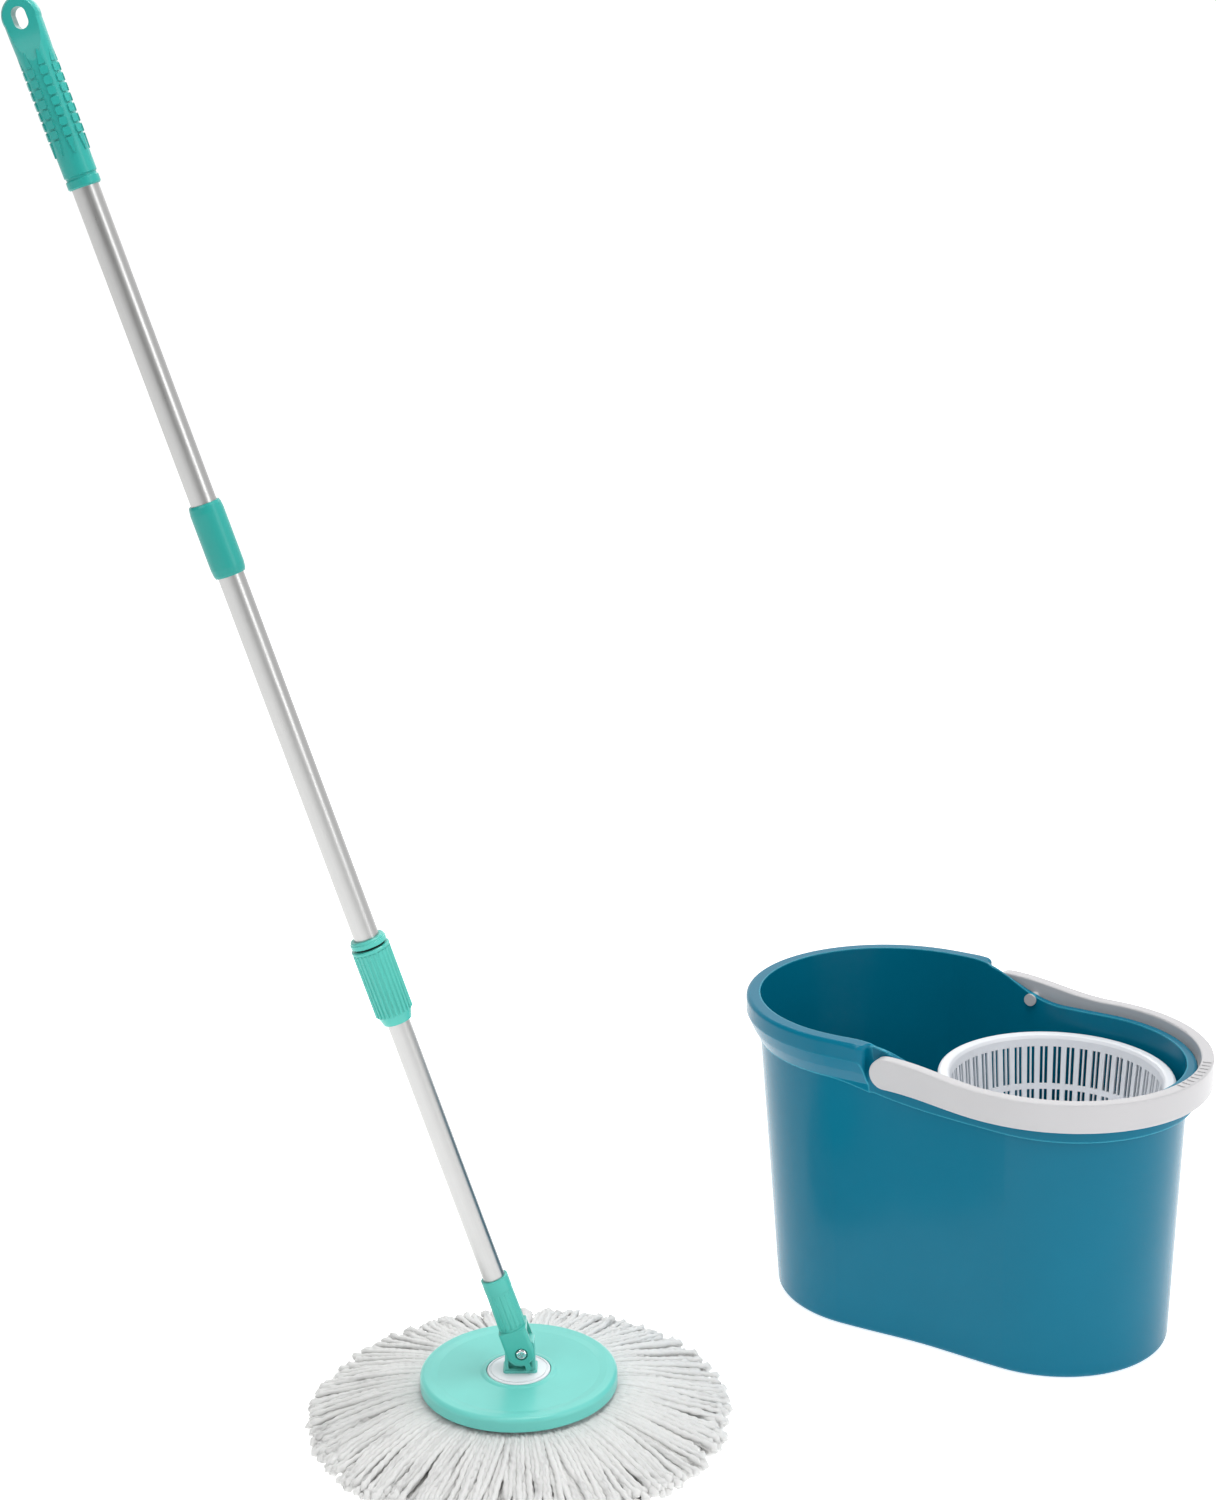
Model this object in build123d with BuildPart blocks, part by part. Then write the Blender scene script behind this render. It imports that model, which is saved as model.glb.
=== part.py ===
"""Spin mop with its wringer bucket, built as separate pieces.

Row frame: millimetres, +Z up, the floor at Z = 0 and the mop head centred on
the origin.  The handle leans over toward -X about a pivot screw that lies along Y.
Pieces of the handle are drawn upright on their own axis and placed by HANDLE;
pieces of the bucket are drawn about the bucket's own centre and placed by BUCKET.
"""
import os
from math import cos, radians, sin

from build123d import *

os.makedirs("parts", exist_ok=True)

# ---------------------------------------------------------------- clearances
RUN_FIT = 0.08          # radial gap of a shaft turning in its bore
SLIDE_FIT = 0.2         # radial gap of a tube sliding in a tube
PUSH_FIT = 0.05         # radial gap of a piece pushed into another and held
GAP = 0.3               # smallest gap between pieces that move past each other

# ---------------------------------------------------------------- mop head
DISC_R = 84.0           # moulded disc that carries the fringe
DISC_TOP = 47.0
DISC_SKIRT = 12.0
DISC_WALL = 2.6
PLATE_R = 27.0          # white plate in the middle of the disc
PLATE_T = 3.3
STEM_R = 7.0
HUB_BOTTOM = 36.0
FRINGE_R = 183.0
FRINGE_HOLE_R = 25.0
RING_OUT_R = DISC_R - DISC_WALL - 0.4
RING_IN_R = 61.0
RING_BOTTOM = 33.4
RING_T = 4.6

# ---------------------------------------------------------------- pivot
PIVOT_X = 3.0
PIVOT_Z = 67.0
PIVOT_OFF = 1.0         # the screw sits beside the handle axis, not on it
LEAN = 17.5
FORK_GAP = 16.4         # between the two cheeks
SCREW_R = 2.5
BLOCK_W = 26.0
BLOCK_TOP = 9.0         # above the pivot

# ---------------------------------------------------------------- handle
LOWER_R = 9.5
TUBE_WALL = 0.8
UPPER_R = LOWER_R + SLIDE_FIT + TUBE_WALL
SOCKET_R = LOWER_R + 2.5
FORK_W = 2 * SOCKET_R + 1.0
LOWER_START = 24.0
LOWER_END = 470.0
SOCKET_TOP = 70.0
COLLAR_BOTTOM = 312.3
COLLAR_TOP = 380.0
COLLET_R = UPPER_R + 1.5
COLLAR_R = COLLET_R + 4.0
RING_TOP = 388.0
MIDDLE_START = 326.0
JOINT_S = 735.0
SLEEVE_BOTTOM = 703.0
SLEEVE_TOP = 762.0
SLEEVE_R = UPPER_R + 3.0
GRIP_BOTTOM = 1014.0
GRIP_END = 1159.0
GRIP_R = UPPER_R + 2.8
HOLE_S = 1142.0
HOLE_W = 11.0
HOLE_L = 16.5
PAD_ROWS = 7
PAD_PITCH = 7.7

# ---------------------------------------------------------------- spin drive
ROD_W = 9.0
ROD_T = 3.0
ROD_LEAD = 90.0
ROD_START = 364.0
ROD_END = 702.0
NUT_START = 474.3
NUT_END = 482.0
HOUSING_END = 492.0
HOUSING_BORE_R = LOWER_R - 2.3

# ---------------------------------------------------------------- bucket
BUCKET_X = 412.7
BUCKET_Y = 203.7
BUCKET_YAW = -33.4
END_U = 82.0            # half the spacing of the two end circles
BASE_R = 105.0
DRAFT = 0.0343          # slope of the wall at the low end
TALL_DRAFT = 0.0725     # slope of the wall at the tall end
WAIST = 3.3
BUCKET_WALL = 2.6
FLOOR_T = 3.0
RIM_Z = 290.0
LOW_RIM_Z = 262.0
LIP_R = BASE_R + 31.3
LOW_LIP_R = BASE_R + 16.0
STEP_U = -44.0          # where the lip steps in to seat the bail
FALL_START_U = -62.0    # the rim falls between these two
FALL_END_U = 40.0

# ---------------------------------------------------------------- bail
BAIL_IN_R = LOW_LIP_R + 2.3
BAIL_T = 11.2
BAIL_H = 26.0
BAIL_Z = 257.3
BAIL_END_U = -24.3
BAIL_END_Z = 267.0
PAD_R = 14.0
HINGE_U = 5.0
HINGE_Z = 263.5
PIN_R = 4.5

# ---------------------------------------------------------------- basket
BASKET_U = 80.0
BASKET_R = 105.0
BASKET_RIM_Z = 244.0
BASKET_MOUTH_R = 94.0
BASKET_FLOOR_R = 86.5
BASKET_FLOOR_Z = 156.0
BASKET_WALL = 2.2
SLOT_W = 2.8
SLOT_PAIRS = 48
SLOT_H = 36.0
PIN_TOP = 166.0
SPINDLE_R = 6.0
POST_TOP = 126.0

PIVOT = Location((PIVOT_X, 0, PIVOT_Z), (0, -LEAN, 0))
HANDLE = PIVOT * Location((-PIVOT_OFF, 0, 0))
HEAD = Location((0, 0, 0))
BUCKET = Location((BUCKET_X, BUCKET_Y, 0), (0, 0, BUCKET_YAW))
BASKET = BUCKET * Location((BASKET_U, 0, 0))


def save(builder, name, frame):
    """Place a finished piece in the row frame and write it."""
    piece = frame * builder.part
    piece.label = name
    export_step(piece, f"parts/{name}.step")


def tube(outer, inner, start, end):
    """A plain tube, or a rod when inner is zero, along Z."""
    with BuildSketch(Plane.XY.offset(start)) as section:
        Circle(outer)
        if inner > 0:
            Circle(inner, mode=Mode.SUBTRACT)
    extrude(section.sketch, amount=end - start)


def bore(radius, start, end):
    """Cut a round hole along Z."""
    with BuildSketch(Plane.XY.offset(start)) as section:
        Circle(radius)
    extrude(section.sketch, amount=end - start, mode=Mode.SUBTRACT)


def turned(*points):
    """A solid of revolution about Z from its half outline of (radius, height)."""
    with BuildSketch(Plane.XZ) as section:
        with BuildLine():
            Polyline(*points, close=True)
        make_face()
    revolve(section.sketch, axis=Axis.Z)


# ================================================================ mop head
with BuildPart() as disc_top:
    under = DISC_TOP - DISC_WALL
    seat_z = DISC_TOP - PLATE_T + GAP
    seat_r = PLATE_R + 0.6
    turned(
        (STEM_R + RUN_FIT, HUB_BOTTOM),
        (11.0, HUB_BOTTOM),
        (11.0, seat_z - DISC_WALL),
        (seat_r + DISC_WALL, seat_z - DISC_WALL),
        (seat_r + DISC_WALL, under),
        (RING_IN_R - 3.0, under),
        (RING_IN_R - 3.0, RING_BOTTOM + 1.0),
        (RING_IN_R - 0.3, RING_BOTTOM + 1.0),
        (RING_IN_R - 0.3, under),
        (DISC_R - DISC_WALL, under),
        (DISC_R - DISC_WALL, DISC_TOP - DISC_SKIRT),
        (DISC_R, DISC_TOP - DISC_SKIRT),
        (DISC_R, DISC_TOP),
        (DISC_R - 9.0, DISC_TOP),
        (DISC_R - 15.0, DISC_TOP - 0.9),
        (seat_r + 5.0, DISC_TOP - 0.9),
        (seat_r + 2.4, DISC_TOP),
        (seat_r, DISC_TOP),
        (seat_r, seat_z),
        (STEM_R + RUN_FIT, seat_z),
    )
    top_circles = disc_top.edges().filter_by(GeomType.CIRCLE).group_by(Axis.Z)[-1]
    fillet(top_circles.sort_by(SortBy.RADIUS)[-1], 4.0)
    with BuildSketch(Plane.XY.offset(under)):
        with PolarLocations((seat_r + RING_IN_R) / 2, 12):
            Rectangle(RING_IN_R - seat_r - 8.0, 1.8)
    extrude(amount=-5.0)
save(disc_top, "disc_top", HEAD)

with BuildPart() as refill_ring:
    turned(
        (RING_IN_R, RING_BOTTOM),
        (RING_OUT_R, RING_BOTTOM),
        (RING_OUT_R, RING_BOTTOM + 2.4),
        (RING_OUT_R - 1.6, RING_BOTTOM + RING_T),
        (RING_OUT_R - 3.4, RING_BOTTOM + RING_T),
        (RING_OUT_R - 4.2, RING_BOTTOM + 2.4),
        (RING_IN_R + 3.0, RING_BOTTOM + 2.4),
        (RING_IN_R + 2.2, RING_BOTTOM + RING_T + 3.0),
        (RING_IN_R, RING_BOTTOM + RING_T + 3.0),
    )
    with BuildSketch(Plane.XY.offset(RING_BOTTOM)):
        with PolarLocations((RING_IN_R + RING_OUT_R) / 2 + 1.0, 36):
            Rectangle(6.0, 3.0)
    extrude(amount=2.4, mode=Mode.SUBTRACT)
save(refill_ring, "refill_ring", HEAD)

with BuildPart() as strand_pad:
    turned(
        (0, 0),
        (FRINGE_R, 0),
        (FRINGE_R, 7.0),
        (FRINGE_R - 28.0, 16.0),
        (FRINGE_R - 68.0, 26.0),
        (DISC_R + 4.0, RING_BOTTOM - 0.6),
        (RING_IN_R, RING_BOTTOM - 0.6),
        (RING_IN_R - 4.0, 26.0),
        (FRINGE_HOLE_R, 14.0),
        (0, 14.0),
    )
save(strand_pad, "strand_pad", HEAD)

# ---------------------------------------------------------------- swivel
with BuildPart() as centre_plate:
    tube(PLATE_R, 0, DISC_TOP - PLATE_T + 2 * GAP, DISC_TOP + 2 * GAP)
    fillet(centre_plate.edges().group_by(Axis.Z)[-1], 1.2)
    with BuildSketch(Plane.XY.offset(DISC_TOP + 2 * GAP)):
        Circle(PLATE_R - 2.2)
        Circle(PLATE_R - 3.4, mode=Mode.SUBTRACT)
    extrude(amount=-0.5, mode=Mode.SUBTRACT)
    bore(STEM_R, 0, DISC_TOP + 5)
save(centre_plate, "centre_plate", HEAD)

BLOCK_Z = DISC_TOP + 2 * GAP
BLOCK_X = PIVOT_X - 1.5
BLOCK_D = FORK_GAP - 2 * GAP
with BuildPart() as clevis_base:
    with BuildSketch(Plane.XZ):
        with BuildLine():
            Polyline(
                (BLOCK_X - BLOCK_W / 2, BLOCK_Z),
                (BLOCK_X + BLOCK_W / 2, BLOCK_Z),
                (BLOCK_X + BLOCK_W / 2 - 0.6, PIVOT_Z + BLOCK_TOP),
                (BLOCK_X - BLOCK_W / 2 + 0.6, PIVOT_Z + BLOCK_TOP),
                close=True,
            )
        make_face()
    extrude(amount=BLOCK_D / 2, both=True)
    fillet(clevis_base.edges().filter_by(Axis.Y).group_by(Axis.Z)[-1], 2.5)
    for side in (-1, 1):
        face = Plane(origin=(BLOCK_X, side * BLOCK_D / 2, 0), x_dir=(1, 0, 0), z_dir=(0, side, 0))
        low = BLOCK_Z + 3.0
        high = PIVOT_Z + BLOCK_TOP - 2.6
        with BuildSketch(face):
            with Locations((0, -side * (low + high) / 2)):
                RectangleRounded(BLOCK_W - 6.4, high - low, 2.0)
        extrude(amount=-5.2, mode=Mode.SUBTRACT)
    with BuildSketch(Plane.XZ):
        with Locations((PIVOT_X, PIVOT_Z)):
            Circle(6.0)
    extrude(amount=BLOCK_D / 2, both=True)
    with BuildSketch(Plane.XZ):
        with Locations((PIVOT_X, PIVOT_Z)):
            Circle(SCREW_R + RUN_FIT)
    extrude(amount=BLOCK_D, both=True, mode=Mode.SUBTRACT)
    with BuildSketch(Plane.XY.offset(BLOCK_Z)):
        with Locations((BLOCK_X, 0)):
            RectangleRounded(BLOCK_W + 3.0, BLOCK_D + 3.0, 3.0)
    extrude(amount=2.4)
    bore(STEM_R, BLOCK_Z - 1, BLOCK_Z + 2.0)
save(clevis_base, "clevis_base", HEAD)

with BuildPart() as swivel_stem:
    tube(STEM_R, 0, HUB_BOTTOM - GAP, BLOCK_Z + 2.0)
    bore(1.8, HUB_BOTTOM - 1, BLOCK_Z - 2.0)
save(swivel_stem, "swivel_stem", HEAD)

with BuildPart() as stem_washer:
    tube(10.5, 2.2, HUB_BOTTOM - GAP - 1.4, HUB_BOTTOM - GAP)
save(stem_washer, "stem_washer", HEAD)

with BuildPart() as stem_screw:
    head_z = HUB_BOTTOM - GAP - 1.4
    tube(4.6, 0, head_z - 2.6, head_z)
    fillet(stem_screw.edges().group_by(Axis.Z)[0], 1.4)
    tube(1.75, 0, head_z, BLOCK_Z - 4.0)
    with BuildSketch(Plane.XY.offset(head_z - 2.6)):
        Rectangle(5.0, 1.0)
        Rectangle(1.0, 5.0)
    extrude(amount=1.4, mode=Mode.SUBTRACT)
save(stem_screw, "stem_screw", HEAD)

# ================================================================ lower handle
with BuildPart() as yoke_socket:
    turned((0, 0), (SOCKET_R, 0), (SOCKET_R, 12), (SOCKET_R - 0.7, SOCKET_TOP), (0, SOCKET_TOP))
    with BuildSketch(Plane.XZ):
        Circle(SOCKET_R)
        with Locations((0, 11.0)):
            Rectangle(2 * SOCKET_R, 22.0)
    extrude(amount=FORK_W / 2, both=True)
    upright = yoke_socket.edges().filter_by(Axis.Z)
    fillet(upright.filter_by(lambda e: abs(e.center().Y) > FORK_W / 2 - 0.1), 3.0)
    with PolarLocations(SOCKET_R + 0.5, 16):
        with Locations((0, 0, 40.0)):
            Cylinder(1.35, 32.0, mode=Mode.SUBTRACT)
    with BuildSketch(Plane.XY.offset(SOCKET_TOP - 12)):
        Circle(SOCKET_R - 0.25)
    extrude(amount=12)
    fillet(yoke_socket.edges().group_by(Axis.Z)[-1], 0.8)
    with BuildSketch(Plane.XZ):
        with Locations((0.5 + 2.0, -12.6)):
            RectangleRounded(4.4, 7.4, 0.8)
    extrude(amount=FORK_W / 2, both=True)
    with BuildSketch(Plane.XZ):
        with Locations((0, -1.0)):
            Rectangle(60.0, 39.0)
    extrude(amount=FORK_GAP / 2, both=True, mode=Mode.SUBTRACT)
    with BuildSketch(Plane.XZ):
        with Locations((PIVOT_OFF, 0)):
            Circle(SCREW_R)
    extrude(amount=FORK_W, both=True, mode=Mode.SUBTRACT)
    with BuildSketch(Plane.XZ.offset(FORK_W / 2 + 1)):
        with Locations((PIVOT_OFF, 0)):
            Circle(5.4)
    extrude(amount=-3.4, mode=Mode.SUBTRACT)
    with BuildSketch(Plane.XZ.offset(-FORK_W / 2 - 1)):
        with Locations((PIVOT_OFF, 0)):
            RegularPolygon(4.6, 6)
    extrude(amount=3.6, mode=Mode.SUBTRACT)
    bore(LOWER_R + PUSH_FIT, LOWER_START, SOCKET_TOP + 1)
save(yoke_socket, "yoke_socket", HANDLE)

with BuildPart() as pivot_screw:
    seat = FORK_W / 2 - 2.4
    with BuildSketch(Plane.XZ.offset(seat)):
        with Locations((PIVOT_OFF, 0)):
            Circle(4.65)
    extrude(amount=3.0)
    crown = pivot_screw.edges().filter_by(GeomType.CIRCLE).sort_by(Axis.Y)[0]
    fillet(crown, 1.9)
    with BuildSketch(Plane.XZ.offset(seat)):
        with Locations((PIVOT_OFF, 0)):
            Circle(SCREW_R)
    extrude(amount=-(FORK_W - 3.2))
    with BuildSketch(Plane.XZ.offset(seat + 3.0)):
        with Locations((PIVOT_OFF, 0)):
            Rectangle(5.2, 1.1)
            Rectangle(1.1, 5.2)
    extrude(amount=-1.7, mode=Mode.SUBTRACT)
save(pivot_screw, "pivot_screw", HANDLE)

with BuildPart() as pivot_nut:
    with BuildSketch(Plane.XZ.offset(-(FORK_W / 2 - 2.6))):
        with Locations((PIVOT_OFF, 0)):
            RegularPolygon(4.5, 6)
            Circle(SCREW_R, mode=Mode.SUBTRACT)
    extrude(amount=-2.4)
save(pivot_nut, "pivot_nut", HANDLE)

with BuildPart() as lower_tube:
    tube(LOWER_R, LOWER_R - TUBE_WALL, LOWER_START, LOWER_END)
save(lower_tube, "lower_tube", HANDLE)

with BuildPart() as nut_housing:
    plug_r = LOWER_R - TUBE_WALL - PUSH_FIT
    turned(
        (HOUSING_BORE_R - 0.8, LOWER_END - 15),
        (plug_r, LOWER_END - 15),
        (plug_r, LOWER_END),
        (LOWER_R, LOWER_END),
        (LOWER_R, HOUSING_END),
        (HOUSING_BORE_R, HOUSING_END),
        (HOUSING_BORE_R, LOWER_END + 4),
        (HOUSING_BORE_R - 0.8, LOWER_END + 4),
    )
save(nut_housing, "nut_housing", HANDLE)


def twisted_bar(width, thickness, start, end):
    """A flat bar twisted along Z; every bar shares the same phase."""
    turn = 360.0 * (start - ROD_START) / ROD_LEAD
    with BuildSketch(Plane.XY.offset(start), mode=Mode.PRIVATE) as section:
        Rectangle(width, thickness, rotation=turn)
    angle = 360.0 * (end - start) / ROD_LEAD
    along = (0, 0, end - start)
    return Solid.extrude_linear_with_rotation(section.sketch.face(), (0, 0, start), along, angle)


with BuildPart() as drive_nut:
    tube(HOUSING_BORE_R - GAP, 0, NUT_START, NUT_END)
    add(twisted_bar(ROD_W + 0.7, ROD_T + 0.7, NUT_START - 1, NUT_END + 1), mode=Mode.SUBTRACT)
    with BuildSketch(Plane.XY.offset(NUT_END)):
        with PolarLocations(HOUSING_BORE_R - 0.9, 12):
            Rectangle(1.4, 1.0)
    extrude(amount=-1.2, mode=Mode.SUBTRACT)
save(drive_nut, "drive_nut", HANDLE)

with BuildPart() as clutch_ring:
    tube(HOUSING_BORE_R, HOUSING_BORE_R - 1.3, NUT_END + GAP, NUT_END + 4.3)
    with BuildSketch(Plane.XY.offset(NUT_END + GAP)):
        with PolarLocations(HOUSING_BORE_R - 0.65, 12):
            Rectangle(2.0, 1.0)
    extrude(amount=1.0, mode=Mode.SUBTRACT)
save(clutch_ring, "clutch_ring", HANDLE)

with BuildPart() as housing_cap:
    tube(HOUSING_BORE_R, HOUSING_BORE_R - 1.3, NUT_END + 4.3, HOUSING_END)
save(housing_cap, "housing_cap", HANDLE)

# ================================================================ upper handle
MIDDLE_IN_R = UPPER_R - TUBE_WALL
with BuildPart() as middle_tube:
    tube(UPPER_R, MIDDLE_IN_R, MIDDLE_START, JOINT_S)
save(middle_tube, "middle_tube", HANDLE)

with BuildPart() as upper_tube:
    tube(UPPER_R, MIDDLE_IN_R, JOINT_S, GRIP_BOTTOM + 30)
save(upper_tube, "upper_tube", HANDLE)

with BuildPart() as joint_plug:
    tube(MIDDLE_IN_R - PUSH_FIT, 6.5, ROD_END + 20, JOINT_S + 16)
save(joint_plug, "joint_plug", HANDLE)

with BuildPart() as coupling_sleeve:
    turned(
        (UPPER_R, SLEEVE_BOTTOM),
        (SLEEVE_R - 1.4, SLEEVE_BOTTOM),
        (SLEEVE_R - 0.6, SLEEVE_BOTTOM + 2.0),
        (SLEEVE_R, SLEEVE_BOTTOM + 7.0),
        (SLEEVE_R, SLEEVE_TOP - 7.0),
        (SLEEVE_R - 0.6, SLEEVE_TOP - 2.0),
        (SLEEVE_R - 1.4, SLEEVE_TOP),
        (UPPER_R, SLEEVE_TOP),
    )
save(coupling_sleeve, "coupling_sleeve", HANDLE)

PIN_S = ROD_END - 6.0
with BuildPart() as rod_anchor:
    tube(MIDDLE_IN_R - PUSH_FIT, 0, ROD_END - 12, ROD_END + 18)
    bore(4.75, ROD_END - 13, ROD_END)
    with BuildSketch(Plane.XZ):
        with Locations((0, PIN_S)):
            Circle(1.5)
    extrude(amount=20, both=True, mode=Mode.SUBTRACT)
save(rod_anchor, "rod_anchor", HANDLE)

with BuildPart() as spiral_rod:
    add(twisted_bar(ROD_W, ROD_T, ROD_START, ROD_END))
    with BuildSketch(Plane.XZ):
        with Locations((0, PIN_S)):
            Circle(1.5)
    extrude(amount=20, both=True, mode=Mode.SUBTRACT)
save(spiral_rod, "spiral_rod", HANDLE)

with BuildPart() as anchor_pin:
    with BuildSketch(Plane.XZ):
        with Locations((0, PIN_S)):
            Circle(1.5)
    extrude(amount=MIDDLE_IN_R - 0.6, both=True)
save(anchor_pin, "anchor_pin", HANDLE)

with BuildPart() as rod_end_stop:
    tube(7.6, 0, ROD_START - 3, ROD_START + 7)
    chamfer(rod_end_stop.edges().group_by(Axis.Z)[0], 1.2)
    bore(4.75, ROD_START, ROD_START + 8)
save(rod_end_stop, "rod_end_stop", HANDLE)

with BuildPart() as lock_collet:
    turned(
        (LOWER_R + 0.1, COLLAR_BOTTOM + 3.0),
        (COLLET_R - 1.8, COLLAR_BOTTOM + 3.0),
        (COLLET_R, COLLAR_BOTTOM + 9.0),
        (COLLET_R, COLLAR_TOP + 2.0),
        (UPPER_R, COLLAR_TOP + 2.0),
        (UPPER_R, MIDDLE_START),
        (LOWER_R + 0.1, MIDDLE_START),
    )
    with BuildSketch(Plane.XY.offset(COLLAR_BOTTOM + 2)):
        with PolarLocations(LOWER_R + 2, 6):
            Rectangle(8.0, 1.4)
    extrude(amount=22.0, mode=Mode.SUBTRACT)
save(lock_collet, "lock_collet", HANDLE)

with BuildPart() as lock_collar:
    turned(
        (LOWER_R + 0.6, COLLAR_BOTTOM),
        (COLLAR_R - 4.0, COLLAR_BOTTOM),
        (COLLAR_R - 1.5, COLLAR_BOTTOM + 8.0),
        (COLLAR_R - 0.9, COLLAR_TOP),
        (COLLET_R + GAP, COLLAR_TOP),
        (COLLET_R + GAP, COLLAR_BOTTOM + 9.0),
        (COLLET_R - 1.8 + GAP, COLLAR_BOTTOM + 3.0 - GAP),
        (LOWER_R + 0.6, COLLAR_BOTTOM + 3.0 - GAP),
    )
    with PolarLocations(COLLAR_R - 1.25, 24):
        with Locations((0, 0, (COLLAR_BOTTOM + COLLAR_TOP) / 2 + 2.5)):
            Cylinder(1.1, COLLAR_TOP - COLLAR_BOTTOM - 12.0)
    turned(
        (COLLET_R + GAP + 0.8, COLLAR_TOP - 2.6),
        (COLLAR_R - 0.4, COLLAR_TOP - 2.6),
        (COLLAR_R, COLLAR_TOP - 2.0),
        (COLLAR_R, COLLAR_TOP - 0.6),
        (COLLAR_R - 0.6, COLLAR_TOP),
        (COLLET_R + GAP + 0.8, COLLAR_TOP),
    )
save(lock_collar, "lock_collar", HANDLE)

with BuildPart() as collar_base:
    turned(
        (UPPER_R, COLLAR_TOP + 2.0),
        (COLLAR_R - 1.5, COLLAR_TOP + 2.0),
        (COLLAR_R - 1.1, COLLAR_TOP + 2.4),
        (COLLAR_R - 1.1, RING_TOP - 2.4),
        (COLLAR_R - 1.9, RING_TOP - 1.8),
        (COLLAR_R - 1.9, RING_TOP - 0.6),
        (COLLAR_R - 2.5, RING_TOP),
        (UPPER_R, RING_TOP),
    )
save(collar_base, "collar_base", HANDLE)

with BuildPart() as hand_grip:
    with BuildSketch(Plane.XZ):
        with BuildLine():
            Polyline(
                (0, GRIP_BOTTOM),
                (GRIP_R - 1.6, GRIP_BOTTOM),
                (GRIP_R - 0.5, GRIP_BOTTOM + 1.2),
                (GRIP_R - 0.5, GRIP_BOTTOM + 6.4),
                (GRIP_R - 1.5, GRIP_BOTTOM + 7.2),
                (GRIP_R - 1.5, GRIP_BOTTOM + 8.8),
                (GRIP_R - 0.5, GRIP_BOTTOM + 9.6),
            )
            Spline(
                (GRIP_R - 0.5, GRIP_BOTTOM + 9.6),
                (GRIP_R - 0.2, GRIP_BOTTOM + 50.0),
                (GRIP_R, GRIP_END - 60.0),
                (GRIP_R + 1.0, GRIP_END - 20.0),
                tangents=[(0, 1), (0, 1)],
            )
            ThreePointArc(
                (GRIP_R + 1.0, GRIP_END - 20.0),
                (GRIP_R * 0.8, GRIP_END - 5.4),
                (0, GRIP_END),
            )
            Line((0, GRIP_END), (0, GRIP_BOTTOM))
        make_face()
    revolve(axis=Axis.Z)
    side_r = GRIP_R + 2.0
    flat_s = GRIP_END - 64.0
    tip_s = GRIP_END + 2.0
    with BuildSketch(Plane.YZ):
        with BuildLine():
            Line((-side_r, flat_s), (-side_r, GRIP_BOTTOM - 1))
            Line((-side_r, GRIP_BOTTOM - 1), (side_r, GRIP_BOTTOM - 1))
            Line((side_r, GRIP_BOTTOM - 1), (side_r, flat_s))
            Spline((side_r, flat_s), (9.2, GRIP_END - 30.0), (8.2, tip_s), tangents=[(0, 1), (0, 1)])
            Line((8.2, tip_s), (-8.2, tip_s))
            Spline((-8.2, tip_s), (-9.2, GRIP_END - 30.0), (-side_r, flat_s), tangents=[(0, -1), (0, -1)])
        make_face()
    extrude(amount=40, both=True, mode=Mode.INTERSECT)
    with BuildSketch(Plane.XZ):
        with Locations((0, HOLE_S)):
            SlotOverall(HOLE_L, HOLE_W, rotation=90)
    extrude(amount=30, both=True, mode=Mode.SUBTRACT)
    bore(UPPER_R + PUSH_FIT, GRIP_BOTTOM - 1, GRIP_BOTTOM + 30)
    for column in range(8):
        turn = radians(19.5 + 45.0 * column)
        start_r = GRIP_R - 1.6
        spot = Plane(
            origin=(start_r * cos(turn), start_r * sin(turn), GRIP_BOTTOM + 41.6),
            x_dir=(0, 0, 1),
            z_dir=(cos(turn), sin(turn), 0),
        )
        with BuildSketch(spot):
            with GridLocations(PAD_PITCH, 1, PAD_ROWS, 1, align=(Align.MIN, Align.CENTER)):
                RectangleRounded(6.3, 6.4, 1.8)
        extrude(amount=2.2)
        last = (PAD_ROWS - 1) * PAD_PITCH + 4.4
        with BuildSketch(spot):
            Polygon((last, 2.7), (last + 11.0, 0.7), (last + 11.0, -0.7), (last, -2.7), align=None)
            Polygon((-4.4, 2.7), (-4.4, -2.7), (-16.0, -0.7), (-16.0, 0.7), align=None)
        extrude(amount=2.1)
save(hand_grip, "hand_grip", HANDLE)

# ================================================================ bucket


def bucket_outline(inset, height):
    """The bucket's plan at a height: two round ends joined by slightly waisted sides."""
    tall = BASE_R + TALL_DRAFT * height - inset
    low = BASE_R + DRAFT * height - inset
    middle = (tall + low) / 2 - WAIST
    with BuildLine() as outline:
        ThreePointArc((-END_U, tall), (-END_U - tall, 0), (-END_U, -tall))
        Spline((-END_U, -tall), (0, -middle), (END_U, -low), tangents=[(1, 0), (1, 0)])
        ThreePointArc((END_U, -low), (END_U + low, 0), (END_U, low))
        Spline((END_U, low), (0, middle), (-END_U, tall), tangents=[(-1, 0), (-1, 0)])
    make_face(outline.edges())


def lip_outline(inset):
    """The lip's plan: wide round the tall end, stepped in where the bail lies."""
    wide = LIP_R - inset
    slim = LOW_LIP_R - inset
    step = STEP_U - inset
    with BuildLine() as outline:
        ThreePointArc((-END_U, wide), (-END_U - wide, 0), (-END_U, -wide))
        Polyline((-END_U, -wide), (step, -wide), (step, -slim), (END_U, -slim))
        ThreePointArc((END_U, -slim), (END_U + slim, 0), (END_U, slim))
        Polyline((END_U, slim), (step, slim), (step, wide), (-END_U, wide))
    face = make_face(outline.edges())
    corners = face.vertices().filter_by(lambda v: abs(v.X - step) < 0.1)
    fillet(corners, 7.0)


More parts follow.
